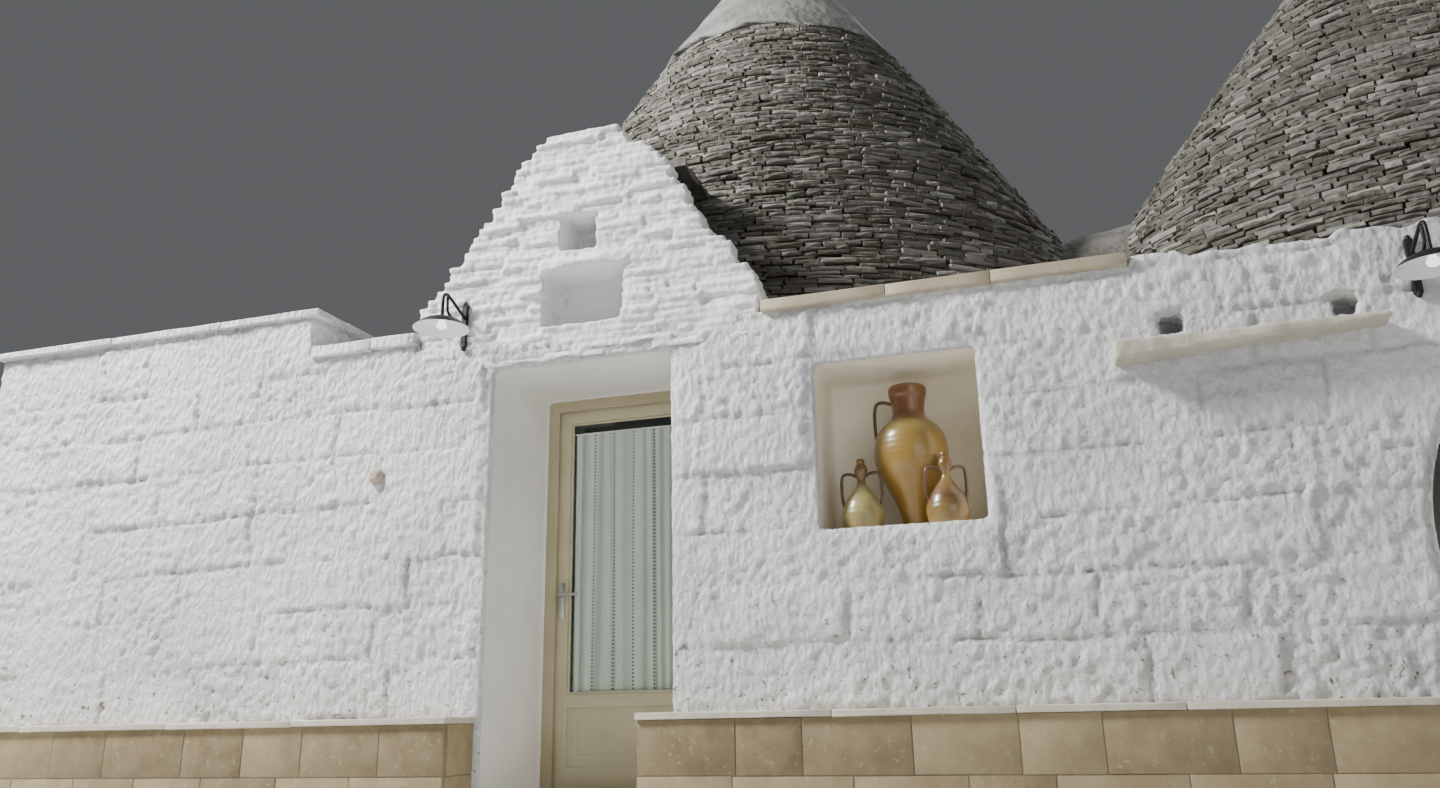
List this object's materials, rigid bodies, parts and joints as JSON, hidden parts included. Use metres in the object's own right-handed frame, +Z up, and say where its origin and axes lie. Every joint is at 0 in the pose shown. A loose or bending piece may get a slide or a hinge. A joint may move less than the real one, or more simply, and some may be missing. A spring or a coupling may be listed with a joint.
{
  "type": "trullo house",
  "caption": "Trullo house with dry-stone cone roofs on whitewashed walls, a gabled entrance with a glazed door, a wall niche with jars, stone benches and an open arch.",
  "frame": {"origin": "bottom centre of the whole house, on the ground", "axes": "+X along the front to the right, +Y from the front to the back, +Z up"},
  "size_m": [11.61, 6.5348, 7.4934],
  "materials": {
    "whitewash": "rough whitewashed limestone",
    "plaster_white": "smooth white plaster",
    "roof_stone": "weathered grey limestone slabs",
    "beige_stone": "honed beige limestone",
    "tile_stone": "tan stone tiles with pale joints",
    "floor_stone": "worn stone flags",
    "cream_paint": "cream paint, satin",
    "window_glass": "clear",
    "steel": "satin",
    "black_iron": "black wrought iron",
    "white_enamel": "white enamel, gloss",
    "bulb_glass": "frosted",
    "curtain_cloth": "sheer woven voile",
    "honey_glaze": "honey glaze over red clay",
    "terracotta": "unglazed"
  },
  "bodies": {
    "house": {"floors": "floor_stone", "doorstep": "floor_stone", "wing_front_wall": "whitewash", "entrance_left_wall": "whitewash", "entrance_lintel": "whitewash", "niche_wall": "whitewash", "shelf_wall": "whitewash", "arch_wall": "whitewash", "arch_right_wall": "whitewash", "left_end_wall": "whitewash", "alcove_wall": "whitewash", "main_back_wall": "whitewash", "middle_wall": "whitewash", "second_back_wall": "whitewash", "right_end_wall": "whitewash", "corner_squinches": "whitewash", "wing_roof": "roof_stone", "left_parapet": "whitewash", "wing_coping": "whitewash", "left_coping": "whitewash", "gable": "whitewash", "gable_roof": "roof_stone", "right_coping": "beige_stone", "main_cone_front": "roof_stone", "main_cone_back": "roof_stone", "second_cone_front": "roof_stone", "second_cone_back": "roof_stone", "valley_gutter": "roof_stone", "cone_caps": "plaster_white", "pinnacles": "plaster_white", "benches": "tile_stone", "bench_tops": "beige_stone", "shelf_slab": "whitewash", "wall_boss": "terracotta", "door_frame": "cream_paint", "door_stop": "cream_paint", "frame_hinges": "steel", "lamp_brackets": "black_iron", "lamp_shades": "white_enamel", "lamp_bulbs": "bulb_glass", "tall_jar": "honey_glaze", "small_jugs": "honey_glaze"},
    "door_leaf": {"leaf_frame": "cream_paint", "leaf_panel": "cream_paint", "leaf_glass": "window_glass", "leaf_hinges": "steel", "door_handle": "steel", "curtain_rod": "white_enamel", "curtain": "curtain_cloth"}
  },
  "joints": [
    {"name": "door_hinge", "type": "hinge", "parent": "house", "child": "door_leaf", "pos_m": [-1.3375, -2.1185, 1.1], "axis": [0, 0, -1], "range_deg": [0, 90]}
  ]
}
